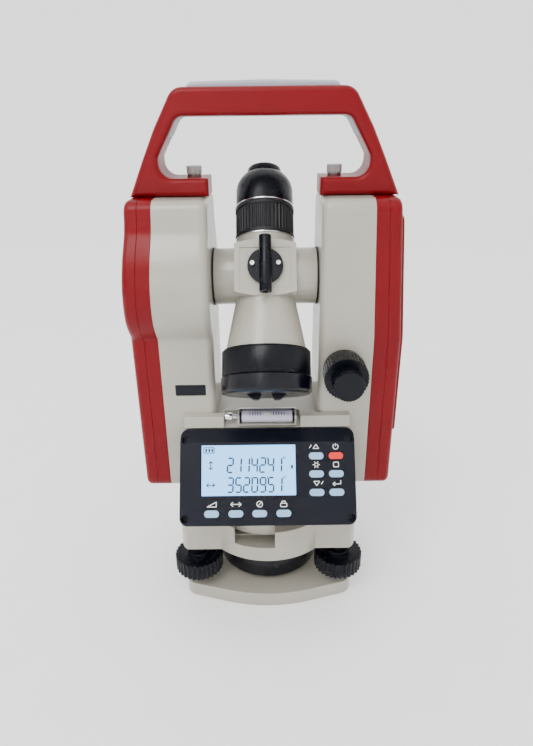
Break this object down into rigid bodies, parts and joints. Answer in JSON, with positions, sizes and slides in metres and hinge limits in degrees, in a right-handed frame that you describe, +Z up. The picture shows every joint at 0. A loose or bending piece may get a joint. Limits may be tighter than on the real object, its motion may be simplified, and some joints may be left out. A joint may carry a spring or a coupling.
{
  "type": "electronic theodolite",
  "caption": "Electronic theodolite on a three-screw levelling base: turning alidade with two standards, tilting telescope, leaning keypad display, plate vial and top handle.",
  "frame": {"origin": "mouth of the tripod thread, on the vertical axis at the underside of the base plate", "axes": "+Z up along the vertical axis; the display and the objective face -Y; the transit axis runs along X, with the vertical circle at -X and the battery at +X"},
  "size_m": [0.1682, 0.145, 0.3384],
  "materials": {
    "ivory_paint": "satin",
    "red_gloss": "gloss",
    "knob_black": "satin",
    "panel_black": "satin",
    "barrel_black": "satin",
    "black_rubber": "matte",
    "grip_grey": "matte",
    "spring_steel": "brushed",
    "bearing_steel": "ground",
    "bright_steel": "polished",
    "chrome_trim": "polished",
    "circle_glass": "polished",
    "vial_glass": "polished",
    "lens_glass": "coated",
    "lcd_glass": "matte",
    "board_green": "satin",
    "cell_wrap": "gloss",
    "key_blue": "satin",
    "key_red": "satin"
  },
  "bodies": {
    "tribrach": {"base_plate": "ivory_paint", "spring_plate": "spring_steel", "tribrach_head": "ivory_paint", "tribrach_skirt": "black_rubber", "axis_sleeve": "bearing_steel", "horizontal_circle": "circle_glass", "circular_vial": "vial_glass"},
    "alidade": {"vertical_spindle": "bearing_steel", "laser_plummet": "knob_black", "alidade_casing": "ivory_paint", "left_standard": "ivory_paint", "right_standard": "ivory_paint", "left_cover_frame": "red_gloss", "left_cover": "red_gloss", "right_cover_frame": "red_gloss", "right_cover": "red_gloss", "handle": "red_gloss", "handle_grip": "grip_grey", "panel_housing": "panel_black", "lcd_window": "lcd_glass", "panel_screws": "bright_steel", "main_board": "board_green", "plate_vial_housing": "chrome_trim", "plate_vial_glass": "vial_glass", "plate_vial_screw": "chrome_trim", "trunnion_bearings": "bearing_steel", "vertical_clamp_collar": "bearing_steel"},
    "telescope": {"telescope_body": "ivory_paint", "objective_barrel": "barrel_black", "objective_lens": "lens_glass", "trunnions": "bearing_steel", "vertical_circle": "circle_glass", "coarse_sights": "barrel_black", "eyepiece_cover": "barrel_black"},
    "battery": {"battery_pack": "red_gloss", "battery_cells": "cell_wrap"},
    "foot_screw_left": {"foot_screw_left": "knob_black"},
    "foot_screw_right": {"foot_screw_right": "knob_black"},
    "foot_screw_rear": {"foot_screw_rear": "knob_black"},
    "battery_latch": {"battery_latch": "knob_black"},
    "handle_screw_left": {"handle_screw_left": "bright_steel"},
    "handle_screw_right": {"handle_screw_right": "bright_steel"},
    "vertical_clamp_knob": {"vertical_clamp_knob": "knob_black"},
    "vertical_tangent_knob": {"vertical_tangent_knob": "knob_black"},
    "horizontal_clamp_knob": {"horizontal_clamp_knob": "knob_black"},
    "horizontal_tangent_knob": {"horizontal_tangent_knob": "knob_black"},
    "lens_cap": {"lens_cap": "panel_black"},
    "focus_ring": {"focus_ring": "black_rubber"},
    "focus_lens": {"focus_lens": "lens_glass"},
    "eyepiece": {"eyepiece": "barrel_black"},
    "key_up": {"key_up": "key_blue"},
    "key_power": {"key_power": "key_red"},
    "key_light": {"key_light": "key_blue"},
    "key_menu": {"key_menu": "key_blue"},
    "key_down": {"key_down": "key_blue"},
    "key_enter": {"key_enter": "key_blue"},
    "key_slope": {"key_slope": "key_blue"},
    "key_side": {"key_side": "key_blue"},
    "key_zero": {"key_zero": "key_blue"},
    "key_hold": {"key_hold": "key_blue"}
  },
  "joints": [
    {"name": "alidade_turn", "type": "hinge", "parent": "tribrach", "child": "alidade", "pos_m": [0, 0, 0.06], "axis": [0, 0, 1], "continuous": true},
    {"name": "telescope_tilt", "type": "hinge", "parent": "alidade", "child": "telescope", "pos_m": [0, 0, 0.228], "axis": [1, 0, 0], "continuous": true},
    {"name": "foot_screw_left_turn", "type": "hinge", "parent": "tribrach", "child": "foot_screw_left", "pos_m": [-0.05023, -0.029, 0.03], "axis": [0, 0, 1], "range_deg": [-1080, 1080]},
    {"name": "foot_screw_right_turn", "type": "hinge", "parent": "tribrach", "child": "foot_screw_right", "pos_m": [0.05023, -0.029, 0.03], "axis": [0, 0, 1], "range_deg": [-1080, 1080]},
    {"name": "foot_screw_rear_turn", "type": "hinge", "parent": "tribrach", "child": "foot_screw_rear", "pos_m": [0, 0.058, 0.03], "axis": [0, 0, 1], "range_deg": [-1080, 1080]},
    {"name": "vertical_clamp_turn", "type": "hinge", "parent": "alidade", "child": "vertical_clamp_knob", "pos_m": [0.048, -0.03, 0.176], "axis": [0, -1, 0], "range_deg": [-60, 60]},
    {"name": "vertical_tangent_turn", "type": "hinge", "parent": "alidade", "child": "vertical_tangent_knob", "pos_m": [0.048, -0.05, 0.176], "axis": [0, -1, 0], "range_deg": [-1440, 1440]},
    {"name": "horizontal_clamp_turn", "type": "hinge", "parent": "alidade", "child": "horizontal_clamp_knob", "pos_m": [0.024, 0.045, 0.104], "axis": [0, 1, 0], "range_deg": [-60, 60]},
    {"name": "horizontal_tangent_turn", "type": "hinge", "parent": "alidade", "child": "horizontal_tangent_knob", "pos_m": [0.024, 0.06, 0.104], "axis": [0, 1, 0], "range_deg": [-1440, 1440]},
    {"name": "handle_screw_left_turn", "type": "hinge", "parent": "alidade", "child": "handle_screw_left", "pos_m": [-0.041, 0, 0.29], "axis": [0, 0, 1], "range_deg": [-1440, 1440]},
    {"name": "handle_screw_right_turn", "type": "hinge", "parent": "alidade", "child": "handle_screw_right", "pos_m": [0.041, 0, 0.29], "axis": [0, 0, 1], "range_deg": [-1440, 1440]},
    {"name": "battery_pull", "type": "slide", "parent": "alidade", "child": "battery", "axis": [1, 0, 0], "range_m": [0, 0.04]},
    {"name": "battery_latch_press", "type": "slide", "parent": "battery", "child": "battery_latch", "axis": [0, 0, -1], "range_m": [0, 0.0025], "stiffness_N_per_m": 300},
    {"name": "focus_turn", "type": "hinge", "parent": "telescope", "child": "focus_ring", "pos_m": [0, 0, 0.228], "axis": [0, 0.5255, 0.8508], "range_deg": [-180, 180]},
    {"name": "focus_lens_travel", "type": "slide", "parent": "telescope", "child": "focus_lens", "axis": [0, 0.5255, 0.8508], "range_m": [-0.005, 0.005]},
    {"name": "eyepiece_turn", "type": "hinge", "parent": "telescope", "child": "eyepiece", "pos_m": [0, 0, 0.228], "axis": [0, 0.5255, 0.8508], "range_deg": [-150, 150]},
    {"name": "lens_cap_pull", "type": "slide", "parent": "telescope", "child": "lens_cap", "axis": [0, -0.5255, -0.8508], "range_m": [0, 0.0045]},
    {"name": "key_up_press", "type": "slide", "parent": "alidade", "child": "key_up", "axis": [0, 0.8387, -0.5446], "range_m": [0, 0.001], "stiffness_N_per_m": 300},
    {"name": "key_power_press", "type": "slide", "parent": "alidade", "child": "key_power", "axis": [0, 0.8387, -0.5446], "range_m": [0, 0.001], "stiffness_N_per_m": 300},
    {"name": "key_light_press", "type": "slide", "parent": "alidade", "child": "key_light", "axis": [0, 0.8387, -0.5446], "range_m": [0, 0.001], "stiffness_N_per_m": 300},
    {"name": "key_menu_press", "type": "slide", "parent": "alidade", "child": "key_menu", "axis": [0, 0.8387, -0.5446], "range_m": [0, 0.001], "stiffness_N_per_m": 300},
    {"name": "key_down_press", "type": "slide", "parent": "alidade", "child": "key_down", "axis": [0, 0.8387, -0.5446], "range_m": [0, 0.001], "stiffness_N_per_m": 300},
    {"name": "key_enter_press", "type": "slide", "parent": "alidade", "child": "key_enter", "axis": [0, 0.8387, -0.5446], "range_m": [0, 0.001], "stiffness_N_per_m": 300},
    {"name": "key_slope_press", "type": "slide", "parent": "alidade", "child": "key_slope", "axis": [0, 0.8387, -0.5446], "range_m": [0, 0.001], "stiffness_N_per_m": 300},
    {"name": "key_side_press", "type": "slide", "parent": "alidade", "child": "key_side", "axis": [0, 0.8387, -0.5446], "range_m": [0, 0.001], "stiffness_N_per_m": 300},
    {"name": "key_zero_press", "type": "slide", "parent": "alidade", "child": "key_zero", "axis": [0, 0.8387, -0.5446], "range_m": [0, 0.001], "stiffness_N_per_m": 300},
    {"name": "key_hold_press", "type": "slide", "parent": "alidade", "child": "key_hold", "axis": [0, 0.8387, -0.5446], "range_m": [0, 0.001], "stiffness_N_per_m": 300}
  ],
  "couplings": [
    {"joint": "focus_turn", "follows": "focus_lens_travel", "rad_per_m": 628.3}
  ]
}
